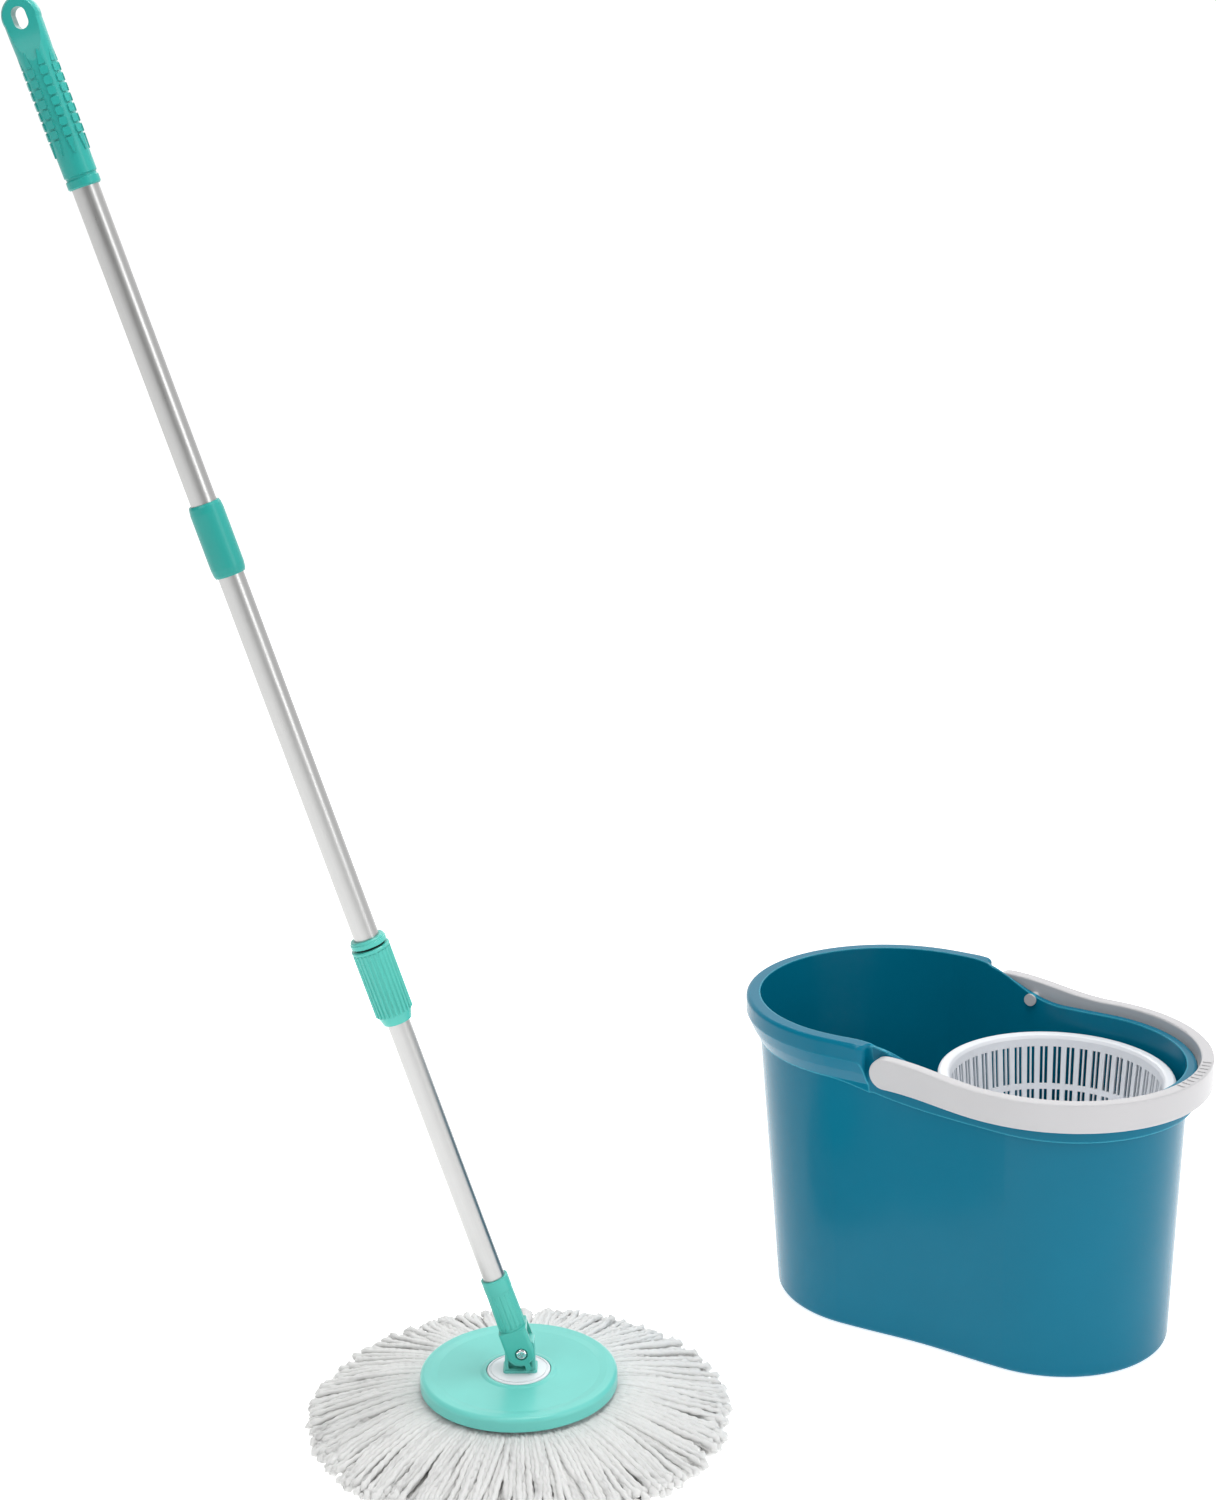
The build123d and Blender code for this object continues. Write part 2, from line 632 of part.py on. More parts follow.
def under_rim(drop):
    """Side view of everything below the rim line, lowered by drop."""
    with BuildLine() as outline:
        Line((-300, -10), (-300, RIM_Z - drop))
        Line((-300, RIM_Z - drop), (FALL_START_U, RIM_Z - drop))
        Spline((FALL_START_U, RIM_Z - drop), (FALL_END_U, LOW_RIM_Z - drop), tangents=[(1, 0), (1, 0)])
        Line((FALL_END_U, LOW_RIM_Z - drop), (300, LOW_RIM_Z - drop))
        Polyline((300, LOW_RIM_Z - drop), (300, -10), (-300, -10))
    make_face(outline.edges())


def above_skirt_line():
    """Side view of everything above the lower edge of the lip's skirt."""
    with BuildLine() as outline:
        Line((-300, 250), (-90, 250))
        Spline((-90, 250), (-35, 241.5), (5, 236), (49, 233), (160, 230), tangents=[(1, 0), (1, 0)])
        Line((160, 230), (300, 230))
        Polyline((300, 230), (300, 320), (-300, 320), (-300, 250))
    make_face(outline.edges())


# height, and reach beyond the wall's base radius
LIP_FLARE = ((215, 17.2), (240, 18.6), (251, 19.9), (262, 26.0), (274, 31.2), (292, 32.0))


def lip_flare(inset):
    """The tall end's lip: upright at the rim, then drawn in to meet the wall."""
    sections = []
    for height, beyond in LIP_FLARE:
        reach = BASE_R + beyond - inset
        with BuildSketch(Plane.XY.offset(height)) as section:
            with BuildLine() as outline:
                ThreePointArc((-END_U, reach), (-END_U - reach, 0), (-END_U, -reach))
                Polyline((-END_U, -reach), (300, -reach), (300, reach), (-END_U, reach))
            make_face(outline.edges())
        sections.append(section.sketch)
    return sections


with BuildPart() as lip_body:
    with BuildSketch(Plane.XY.offset(220)):
        lip_outline(0)
    extrude(amount=RIM_Z - 220)
    with BuildSketch(Plane.XZ):
        under_rim(0)
    extrude(amount=200, both=True, mode=Mode.INTERSECT)
    rim_edges = lip_body.edges().filter_by(lambda e: e.center().Z > LOW_RIM_Z - 1)
    rim_edges = rim_edges.filter_by(lambda e: e.bounding_box().min.Z > LOW_RIM_Z - 0.5)
    rim_edges = rim_edges.filter_by(lambda e: e.bounding_box().size.X > 4 or e.bounding_box().size.Y > 4)
    rim_edges = rim_edges.filter_by(lambda e: abs(e.center().Y) > 30 or abs(e.center().X) > 150)
    fillet(rim_edges, 4.0)
    loft(lip_flare(0), ruled=True, mode=Mode.INTERSECT)
    with BuildSketch(Plane.XZ):
        above_skirt_line()
    extrude(amount=200, both=True, mode=Mode.INTERSECT)

with BuildPart() as lip_core:
    with BuildSketch(Plane.XY.offset(200)):
        lip_outline(BUCKET_WALL)
    extrude(amount=RIM_Z - 200)
    with BuildSketch(Plane.XZ):
        under_rim(BUCKET_WALL)
    extrude(amount=200, both=True, mode=Mode.INTERSECT)
    loft(lip_flare(BUCKET_WALL), ruled=True, mode=Mode.INTERSECT)

with BuildPart() as bucket_body:
    with BuildSketch():
        bucket_outline(0, 0)
    with BuildSketch(Plane.XY.offset(RIM_Z)):
        bucket_outline(0, RIM_Z)
    loft(ruled=True)
    fillet(bucket_body.edges().group_by(Axis.Z)[0], 5.0)
    with BuildSketch(Plane.XZ):
        under_rim(1.0)
    extrude(amount=200, both=True, mode=Mode.INTERSECT)

with BuildPart() as bucket_core:
    with BuildSketch(Plane.XY.offset(FLOOR_T)):
        bucket_outline(BUCKET_WALL, FLOOR_T)
    with BuildSketch(Plane.XY.offset(RIM_Z + 10)):
        bucket_outline(BUCKET_WALL, RIM_Z + 10)
    loft(ruled=True)
    fillet(bucket_core.edges().group_by(Axis.Z)[0], 6.0)

with BuildPart() as bucket_shell:
    add(lip_body.part)
    add(lip_core.part, mode=Mode.SUBTRACT)
    add(bucket_body.part)
    add(bucket_core.part, mode=Mode.SUBTRACT)
    with BuildSketch(Plane.YZ.offset(END_U + LOW_LIP_R - 1.2)):
        with Locations((0, BAIL_Z - BAIL_H / 2 - GAP - 2.0)):
            Rectangle(30.0, 4.0)
    extrude(amount=7.0)
    with BuildSketch(Plane.XZ):
        with Locations((HINGE_U, HINGE_Z)):
            Circle(PIN_R + RUN_FIT)
    extrude(amount=200, both=True, mode=Mode.SUBTRACT)
    with BuildSketch(Plane.XY.offset(FLOOR_T - 0.5)):
        with Locations((BASKET_U, 0)):
            Circle(24.0)
    extrude(amount=8.5)
    with BuildSketch(Plane.XY.offset(FLOOR_T + 3.0)):
        with Locations((BASKET_U, 0)):
            Circle(21.0)
    extrude(amount=8.0, mode=Mode.SUBTRACT)
save(bucket_shell, "bucket_shell", BUCKET)

# ---------------------------------------------------------------- bail


def bail_plan(inner_r, outer_r, start_u):
    """The bail seen from above: a half ring with two straight arms."""
    Circle(outer_r)
    with Locations(((start_u - END_U) / 2, 0)):
        Rectangle(END_U - start_u, 2 * outer_r)
    Circle(inner_r, mode=Mode.SUBTRACT)
    with Locations((-END_U, 0)):
        Rectangle(2 * END_U, 2 * inner_r, mode=Mode.SUBTRACT)
    with Locations(((start_u - END_U) - 200, 0)):
        Rectangle(400, 3 * outer_r, mode=Mode.SUBTRACT)


def bail_side(shrink):
    """The bail seen from the side: a level band rising to the hinge pads."""
    half = BAIL_H / 2 - shrink
    end = PAD_R - shrink
    with BuildLine() as outline:
        ThreePointArc(
            (BAIL_END_U, BAIL_END_Z + end),
            (BAIL_END_U - end, BAIL_END_Z),
            (BAIL_END_U, BAIL_END_Z - end),
        )
        Spline(
            (BAIL_END_U, BAIL_END_Z - end),
            (END_U - 5, BAIL_Z - half),
            tangents=[(1, 0), (1, 0)],
        )
        Line((END_U - 5, BAIL_Z - half), (300, BAIL_Z - half))
        Line((300, BAIL_Z - half), (300, BAIL_Z + half))
        Line((300, BAIL_Z + half), (END_U - 5, BAIL_Z + half))
        Spline(
            (END_U - 5, BAIL_Z + half),
            (BAIL_END_U, BAIL_END_Z + end),
            tangents=[(-1, 0), (-1, 0)],
        )
    make_face(outline.edges())


with BuildPart() as bail_channel:
    with BuildSketch(Plane.XY.offset(BAIL_Z - 40)):
        with Locations((END_U, 0)):
            bail_plan(BAIL_IN_R + 2.6, BAIL_IN_R + BAIL_T - 2.6, HINGE_U + 24)
    extrude(amount=40 + BAIL_H / 2 - 2.8)

with BuildPart() as bail_handle:
    with BuildSketch(Plane.XY.offset(BAIL_Z - 40)):
        with Locations((END_U, 0)):
            bail_plan(BAIL_IN_R, BAIL_IN_R + BAIL_T, BAIL_END_U - PAD_R - 2)
    extrude(amount=80)
    with BuildSketch(Plane.XZ):
        bail_side(0)
    extrude(amount=200, both=True, mode=Mode.INTERSECT)
    fillet(bail_handle.edges().filter_by(lambda e: abs(e.center().Z - BAIL_Z) > 3), 1.5)
    add(bail_channel.part, mode=Mode.SUBTRACT)
    for rib in range(-4, 5):
        turn = radians(3.5 * rib)
        mid = BAIL_IN_R + BAIL_T / 2
        top = Plane(
            origin=(END_U + mid * cos(turn), mid * sin(turn), BAIL_Z + BAIL_H / 2 - 0.4),
            x_dir=(cos(turn), sin(turn), 0),
            z_dir=(0, 0, 1),
        )
        with BuildSketch(top):
            RectangleRounded(7.6, 2.4, 1.1)
        extrude(amount=1.2)
    for side in (-1, 1):
        with BuildSketch(Plane.XZ.offset(side * (BAIL_IN_R - 1))):
            with Locations((HINGE_U, HINGE_Z)):
                Circle(PIN_R)
        extrude(amount=side * 9.0, mode=Mode.SUBTRACT)
save(bail_handle, "bail_handle", BUCKET)

with BuildPart() as bail_pins:
    wall_in = BASE_R + (DRAFT + TALL_DRAFT) / 2 * HINGE_Z - BUCKET_WALL - WAIST
    for side in (-1, 1):
        with BuildSketch(Plane.XZ.offset(side * (BAIL_IN_R + 8.0))):
            with Locations((HINGE_U, HINGE_Z)):
                Circle(PIN_R)
        extrude(amount=-side * (BAIL_IN_R + 8.0 - wall_in + 2.8))
        with BuildSketch(Plane.XZ.offset(side * (wall_in - 1.0))):
            with Locations((HINGE_U, HINGE_Z)):
                Circle(PIN_R + 1.3)
        extrude(amount=-side * 2.0)
save(bail_pins, "bail_pins", BUCKET)

# ---------------------------------------------------------------- spin basket
with BuildPart() as basket:
    top = BASKET_RIM_Z
    floor = BASKET_FLOOR_Z
    wall_top = top - 3.0
    turned(
        (8.4, floor - 6.0),
        (11.4, floor - 6.0),
        (11.4, floor - 3.0),
        (BASKET_FLOOR_R - 3.0 + BASKET_WALL, floor - 3.0),
        (BASKET_FLOOR_R + BASKET_WALL, floor + 2.0),
        (BASKET_MOUTH_R + BASKET_WALL, wall_top - 1.0),
        (BASKET_R - 2.0, wall_top + 0.4),
        (BASKET_R - 2.0, top - 11.0),
        (BASKET_R, top - 11.0),
        (BASKET_R, top - 2.4),
        (BASKET_R - 0.8, top - 0.9),
        (BASKET_R - 2.6, top),
        (BASKET_MOUTH_R + 3.4, top),
        (BASKET_MOUTH_R + 1.4, top - 0.9),
        (BASKET_MOUTH_R, top - 3.6),
        (BASKET_FLOOR_R, floor + 3.0),
        (BASKET_FLOOR_R - 3.0, floor),
        (8.4, floor),
    )
    upper = top - 11.0 - SLOT_H
    lower = floor + 6.0
    for start, height in ((upper, SLOT_H), (lower, upper - 5.0 - lower)):
        with BuildSketch(Plane.XY.offset(start)):
            with PolarLocations(BASKET_MOUTH_R - 2.0, SLOT_PAIRS, start_angle=1.35):
                Rectangle(20.0, SLOT_W)
            with PolarLocations(BASKET_MOUTH_R - 2.0, SLOT_PAIRS, start_angle=-1.35):
                Rectangle(20.0, SLOT_W)
        extrude(amount=height, mode=Mode.SUBTRACT)
    with BuildSketch(Plane.XY.offset(floor - 4)):
        for hole_r, count in ((30.0, 12), (48.0, 18), (66.0, 24)):
            with PolarLocations(hole_r, count):
                Rectangle(13.0, 3.4)
    extrude(amount=6, mode=Mode.SUBTRACT)
save(basket, "basket", BASKET)

with BuildPart() as hub_bush:
    tube(8.4, SPINDLE_R + RUN_FIT, POST_TOP + 2 + GAP, BASKET_FLOOR_Z + 1.0)
    tube(11.4, 8.4, POST_TOP + 2 + GAP, BASKET_FLOOR_Z - 6.0)
save(hub_bush, "hub_bush", BASKET)

CAP_Z = BASKET_FLOOR_Z
with BuildPart() as basket_cap:
    turned(
        (17.6, CAP_Z),
        (20.0, CAP_Z),
        (19.2, CAP_Z + 9.0),
        (16.0, CAP_Z + 14.0),
        (10.0, CAP_Z + 16.6),
        (0.0, CAP_Z + 17.2),
        (0.0, CAP_Z + 14.6),
        (9.0, CAP_Z + 14.2),
        (14.4, CAP_Z + 11.8),
        (16.8, CAP_Z + 8.0),
    )
save(basket_cap, "basket_cap", BASKET)

with BuildPart() as basket_post:
    base = FLOOR_T + 3.0
    turned(
        (0.0, base),
        (20.8, base),
        (20.8, base + 4.0),
        (17.0, base + 12.0),
        (11.5, POST_TOP),
        (SPINDLE_R, POST_TOP),
        (SPINDLE_R, POST_TOP - 30.0),
        (0.0, POST_TOP - 30.0),
    )
    with BuildSketch(Plane.XY.offset(base + 12)):
        with PolarLocations(16.0, 6):
            Rectangle(8.0, 2.2)
    extrude(amount=-10)
    bore(2.0, base, base + 16.0)
save(basket_post, "basket_post", BASKET)

CLIP_Z = BASKET_FLOOR_Z + 1.0 + GAP
with BuildPart() as spindle_pin:
    tube(SPINDLE_R, 0, POST_TOP - 30.0, PIN_TOP)
    chamfer(spindle_pin.edges().group_by(Axis.Z)[-1], 1.0)
    with BuildSketch(Plane.XY.offset(CLIP_Z)):
        Circle(SPINDLE_R + 1)
        Circle(SPINDLE_R - 1.0, mode=Mode.SUBTRACT)
    extrude(amount=1.2, mode=Mode.SUBTRACT)
save(spindle_pin, "spindle_pin", BASKET)

with BuildPart() as retaining_clip:
    tube(SPINDLE_R + 3.0, SPINDLE_R - 1.0, CLIP_Z, CLIP_Z + 1.2)
    with BuildSketch(Plane.XY.offset(CLIP_Z - 1)):
        with Locations((SPINDLE_R, 0)):
            Rectangle(8.0, 5.0)
    extrude(amount=4, mode=Mode.SUBTRACT)
save(retaining_clip, "retaining_clip", BASKET)

with BuildPart() as thrust_washer:
    tube(11.4, SPINDLE_R, POST_TOP, POST_TOP + 2.0)
save(thrust_washer, "thrust_washer", BASKET)
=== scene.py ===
"""Looks of the spin mop set: materials, the microfibre fringe, studio and camera."""

import math
import random

import bpy
import numpy as np
from mathutils import Matrix, Vector


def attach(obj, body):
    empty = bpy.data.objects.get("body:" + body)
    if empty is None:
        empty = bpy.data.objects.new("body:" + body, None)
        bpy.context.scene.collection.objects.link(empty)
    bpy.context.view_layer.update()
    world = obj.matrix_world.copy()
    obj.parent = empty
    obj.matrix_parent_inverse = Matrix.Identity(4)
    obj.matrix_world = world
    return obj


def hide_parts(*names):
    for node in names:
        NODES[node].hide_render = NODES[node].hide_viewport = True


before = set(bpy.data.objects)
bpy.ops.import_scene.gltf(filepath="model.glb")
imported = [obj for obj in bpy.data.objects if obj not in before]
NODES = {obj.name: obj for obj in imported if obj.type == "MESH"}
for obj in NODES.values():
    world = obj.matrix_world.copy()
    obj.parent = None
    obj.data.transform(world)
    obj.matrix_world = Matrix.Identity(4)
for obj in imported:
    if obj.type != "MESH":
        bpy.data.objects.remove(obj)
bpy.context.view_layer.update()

MM = 0.001
LEAN = math.radians(17.5)       # of the handle, so streaks on its tubes can follow it


# ------------------------------------------------------------------ node helpers
def new_material(name):
    """A fresh material with its tree and its main shader."""
    mat = bpy.data.materials.new(name)
    mat.use_nodes = True
    tree = mat.node_tree
    return mat, tree, tree.nodes["Principled BSDF"]


def add(tree, kind, **values):
    """A new node; each value goes to the input of that name, or to the node itself."""
    node = tree.nodes.new(kind)
    for key, value in values.items():
        if key in node.inputs:
            node.inputs[key].default_value = value
        else:
            setattr(node, key, value)
    return node


def coords(tree, turn=(0.0, 0.0, 0.0), scale=(1.0, 1.0, 1.0)):
    """Object coordinates, turned into a piece's own direction and scaled."""
    where = add(tree, "ShaderNodeTexCoord")
    spin = add(tree, "ShaderNodeMapping")
    spin.inputs["Rotation"].default_value = turn
    stretch = add(tree, "ShaderNodeMapping")
    stretch.inputs["Scale"].default_value = scale
    tree.links.new(where.outputs["Object"], spin.inputs["Vector"])
    tree.links.new(spin.outputs["Vector"], stretch.inputs["Vector"])
    return stretch.outputs["Vector"]


def noise(tree, vector, scale, detail=2.0, rough=0.5):
    """Noise over a vector; scale is in waves per metre."""
    node = add(tree, "ShaderNodeTexNoise")
    node.inputs["Scale"].default_value = scale
    node.inputs["Detail"].default_value = detail
    node.inputs["Roughness"].default_value = rough
    tree.links.new(vector, node.inputs["Vector"])
    return node.outputs["Fac"]


def ramp(tree, value, stops):
    """A colour ramp from (place, colour) stops."""
    node = add(tree, "ShaderNodeValToRGB")
    points = node.color_ramp.elements
    while len(points) < len(stops):
        points.new(0.5)
    for point, (place, colour) in zip(points, stops):
        point.position = place
        point.color = (*colour, 1.0)
    tree.links.new(value, node.inputs["Fac"])
    return node.outputs["Color"]


def spread(tree, value, low, high):
    """A 0 to 1 value stretched over low to high."""
    node = add(tree, "ShaderNodeMapRange")
    node.inputs["To Min"].default_value = low
    node.inputs["To Max"].default_value = high
    tree.links.new(value, node.inputs["Value"])
    return node.outputs["Result"]


def bump(tree, height, strength, distance, normal=None):
    """A bumped normal, on top of another normal where one is given."""
    node = add(tree, "ShaderNodeBump")
    node.inputs["Strength"].default_value = strength
    node.inputs["Distance"].default_value = distance
    tree.links.new(height, node.inputs["Height"])
    if normal is not None:
        tree.links.new(normal, node.inputs["Normal"])
    return node.outputs["Normal"]


def soft_edges(tree, radius):
    """A normal that rounds sharp edges over radius metres."""
    node = add(tree, "ShaderNodeBevel", samples=4)
    node.inputs["Radius"].default_value = radius
    return node.outputs["Normal"]


def srgb(r, g, b):
    """A colour given as it looks on screen, 0 to 255, in linear light."""
    out = []
    for c in (r, g, b):
        c = c / 255.0
        out.append(c / 12.92 if c <= 0.04045 else ((c + 0.055) / 1.055) ** 2.4)
    return tuple(out)


def shade(colour, k):
    """A colour made k times as light."""
    return tuple(min(1.0, c * k) for c in colour)


# ------------------------------------------------------------------ materials
def painted_edge_highlight(tree, colour, highlight_colour, radius):
    """Painted highlight: colour lightened where the moulding turns a tight corner, standing in for the
    glints that light gives such edges.
    """
    bevel = add(tree, "ShaderNodeBevel", samples=4)
    bevel.inputs["Radius"].default_value = radius
    shape = add(tree, "ShaderNodeNewGeometry")
    match = add(tree, "ShaderNodeVectorMath", operation="DOT_PRODUCT")
    tree.links.new(bevel.outputs["Normal"], match.inputs[0])
    tree.links.new(shape.outputs["Normal"], match.inputs[1])
    # the painted highlight goes where the rounded normal parts from the true one, at tight corners
    mask = ramp(tree, match.outputs["Value"], [(0.86, (0.75, 0.75, 0.75)), (0.995, (0.0, 0.0, 0.0))])
    mix = add(tree, "ShaderNodeMix", data_type="RGBA")
    tree.links.new(mask, mix.inputs["Factor"])
    tree.links.new(colour, mix.inputs[6])
    mix.inputs[7].default_value = (*highlight_colour, 1.0)
    return mix.outputs[2]


def moulded(name, colour, rough=0.3, grain=0.00002, edge=0.0006, coat=0.15, spots=0.04, shine=0.38,
            highlight_colour=None):
    """Injection moulded plastic: faint flow mottling, a fine sheen texture and softened edges, plus a
    painted highlight on tight edges when a highlight colour is given.
    """
    mat, tree, bsdf = new_material(name)
    vec = coords(tree)
    flow = noise(tree, vec, 22.0, 3.0)
    dark, light = shade(colour, 1.0 - spots), shade(colour, 1.0 + spots * 0.6)
    colour_out = ramp(tree, flow, [(0.3, dark), (0.7, light)])
    # painted highlight on tight edges, in place of real glints
    if highlight_colour:
        colour_out = painted_edge_highlight(tree, colour_out, highlight_colour, 0.0025)
    tree.links.new(colour_out, bsdf.inputs["Base Color"])
    rub = noise(tree, vec, 160.0, 4.0, 0.6)
    tree.links.new(spread(tree, rub, rough * 0.82, rough * 1.22), bsdf.inputs["Roughness"])
    grit = noise(tree, vec, 1900.0, 2.0)
    tree.links.new(bump(tree, grit, 0.35, grain, soft_edges(tree, edge)), bsdf.inputs["Normal"])
    bsdf.inputs["IOR"].default_value = 1.44
    bsdf.inputs["Specular IOR Level"].default_value = shine
    bsdf.inputs["Coat Weight"].default_value = coat
    bsdf.inputs["Coat Roughness"].default_value = 0.12
    return mat


def drawn_tube(name, colour, rough=0.24):
    """Drawn aluminium tube: streaks along the handle, with faint handling marks."""
    mat, tree, bsdf = new_material(name)
    vec = coords(tree, (0.0, LEAN, 0.0), (1.0, 1.0, 0.012))
    streak = noise(tree, vec, 1500.0, 3.0, 0.6)
    marks = noise(tree, coords(tree), 45.0, 4.0, 0.7)
    tint = ramp(tree, streak, [(0.25, shade(colour, 0.93)), (0.75, colour)])
    tree.links.new(tint, bsdf.inputs["Base Color"])
    mixed = add(tree, "ShaderNodeMath", operation="MULTIPLY")
    tree.links.new(spread(tree, streak, rough * 0.75, rough * 1.3), mixed.inputs[0])
    tree.links.new(spread(tree, marks, 0.85, 1.2), mixed.inputs[1])
    tree.links.new(mixed.outputs[0], bsdf.inputs["Roughness"])
    tree.links.new(bump(tree, streak, 0.12, 0.00002), bsdf.inputs["Normal"])
    bsdf.inputs["Metallic"].default_value = 1.0
    return mat


def plated(name, colour, rough):
    """Plated or bright steel with fine wear."""
    mat, tree, bsdf = new_material(name)
    vec = coords(tree)
    wear = noise(tree, vec, 500.0, 3.0)
    tree.links.new(ramp(tree, wear, [(0.3, shade(colour, 0.86)), (0.7, colour)]), bsdf.inputs["Base Color"])
    tree.links.new(spread(tree, wear, rough * 0.7, rough * 1.4), bsdf.inputs["Roughness"])
    tree.links.new(bump(tree, wear, 0.1, 0.00002, soft_edges(tree, 0.0002)), bsdf.inputs["Normal"])
    bsdf.inputs["Metallic"].default_value = 1.0
    return mat


def microfibre(name, colour):
    """Soft white pile: fine fibre bump, a little colour variation and sheen."""
    mat, tree, bsdf = new_material(name)
    vec = coords(tree)
    fibre = noise(tree, vec, 1100.0, 4.0, 0.7)
    clump = noise(tree, vec, 60.0, 2.0)
    tree.links.new(ramp(tree, clump, [(0.2, shade(colour, 0.95)), (0.7, colour)]), bsdf.inputs["Base Color"])
    tree.links.new(bump(tree, fibre, 0.55, 0.0004), bsdf.inputs["Normal"])
    tree.links.new(spread(tree, clump, 0.85, 1.0), bsdf.inputs["Roughness"])
    bsdf.inputs["Sheen Weight"].default_value = 0.25
    bsdf.inputs["Sheen Roughness"].default_value = 0.5
    bsdf.inputs["Subsurface Weight"].default_value = 0.35
    bsdf.inputs["Subsurface Radius"].default_value = (0.003, 0.003, 0.003)
    bsdf.inputs["Subsurface Scale"].default_value = 1.0
    return mat


TEAL = srgb(34, 150, 142)
MINT = srgb(82, 190, 178)
DISC = srgb(112, 208, 198)
WHITE = srgb(236, 238, 242)
BLUE = srgb(0, 110, 138)
GREY = srgb(196, 195, 197)

MATERIALS = {
    "teal": moulded("teal_moulding", TEAL, 0.34, 0.00004, 0.0007, 0.1),
    "mint": moulded("mint_moulding", MINT, 0.32, 0.00003, 0.0006, 0.12),
    "disc": moulded("disc_moulding", DISC, 0.3, 0.00002, 0.0008, 0.15),
    "white": moulded("white_moulding", WHITE, 0.33, 0.00002, 0.0007, 0.12, 0.02),
    # the bucket's last colour is its painted edge highlight, a light cyan
    "blue": moulded("bucket_moulding", BLUE, 0.2, 0.000006, 0.0012, 0.0, 0.02, 0.2, srgb(70, 190, 215)),
    "grey": moulded("bail_moulding", GREY, 0.33, 0.00001, 0.0008, 0.12, 0.015),
    "acetal": moulded("natural_acetal", srgb(228, 226, 216), 0.45, 0.00002, 0.0003, 0.0),
    "black": moulded("black_acetal", srgb(26, 26, 28), 0.42, 0.00002, 0.0003, 0.0),
    "tube": drawn_tube("drawn_aluminium", (0.5, 0.5, 0.495), 0.3),
    "chrome": plated("plated_screw", (0.82, 0.83, 0.85), 0.12),
    "steel": plated("bright_steel", (0.6, 0.6, 0.62), 0.28),
}
FINISH = {
    "teal": ["hand_grip", "coupling_sleeve"],
    "mint": ["lock_collar", "collar_base", "yoke_socket"],
    "disc": ["disc_top", "clevis_base"],
    "white": ["centre_plate", "refill_ring", "basket", "basket_cap", "basket_post"],
    "blue": ["bucket_shell"],
    "grey": ["bail_handle", "bail_pins"],
    "acetal": ["swivel_stem", "thrust_washer", "hub_bush", "drive_nut"],
    "black": ["nut_housing", "housing_cap", "rod_anchor", "rod_end_stop", "lock_collet", "joint_plug"],
    "tube": ["lower_tube", "middle_tube", "upper_tube"],
    "chrome": ["pivot_screw", "stem_screw"],
    "steel": ["pivot_nut", "stem_washer", "clutch_ring", "spiral_rod", "anchor_pin", "spindle_pin",
              "retaining_clip"],
}
for finish, names in FINISH.items():
    for name in names:
        for slot in NODES[name].material_slots:
            slot.material = MATERIALS[finish]

# ------------------------------------------------------------------ fringe
SIDES = 9           # points round a strand
STEP = 3.0          # millimetres from ring to ring along a strand
LOWEST = 0.3        # no yarn goes below this height
SWIRL_AT = math.radians(195.0)      # the strands sweep round most on this side
COUNTER_AT = 5.5                    # and a little the other way here, in radians

# name, strands, root radius, root height, end height, half width, longest reach, sway
LAYERS = [
    ("fringe_top", 200, 70.0, 29.0, 9.0, 2.7, 181.0, 1.0),
    ("fringe_upper", 206, 68.0, 25.0, 6.3, 2.7, 184.0, 1.0),
    ("fringe_middle", 206, 64.0, 19.0, 4.3, 2.7, 182.0, 0.9),
    ("fringe_lower", 196, 46.0, 12.0, 3.3, 2.8, 179.0, 0.8),
    ("fringe_bottom", 160, 34.0, 5.0, 2.9, 2.8, 174.0, 0.6),
]


def height_at(share, root, end, crown):
    """Height of a strand: held at its root, crowned as it leaves the disc, then down to the floor."""
    drop = share ** 1.35
    rise = crown * math.sin(math.pi * min(1.0, share * 1.35)) * (1.0 - share)
    return root + (end - root) * drop + rise


def strand_path(rng, angle, spec):
    """Centre line of one strand, from under the disc out to the floor."""
    _, _, root_r, root_z, end_z, _, reach, sway = spec
    tip = reach - abs(rng.gauss(0.0, 6.0)) - (11.0 if rng.random() < 0.12 else 0.0)
    bend = rng.gauss(0.0, 2.2) * sway
    swirl = 8.0 * max(0.0, math.cos(angle - SWIRL_AT)) ** 2
    curl = swirl - 2.5 * max(0.0, math.cos(angle - COUNTER_AT))
    wave = [rng.uniform(0.0, 6.28), rng.uniform(26.0, 44.0), rng.uniform(0.3, 1.1)]
    lift = rng.gauss(0.0, 1.0)
    crown = rng.uniform(1.0, 3.5) if root_z > 18 else 0.5
    count = max(12, int((tip - root_r) / STEP))
    points = []
    for i in range(count + 1):
        share = i / count
        r = root_r + (tip - root_r) * share
        turn = angle + math.radians((bend + curl) * share ** 1.6)
        turn += wave[2] * math.sin(wave[0] + r / wave[1] * 6.28) / max(r, 60.0) * share
        z = height_at(share, root_z, end_z, crown) + lift * share * (1.0 - 0.4 * share)
        z = max(z, 2.6)
        points.append((r * math.cos(turn), r * math.sin(turn), z))
    return np.array(points)


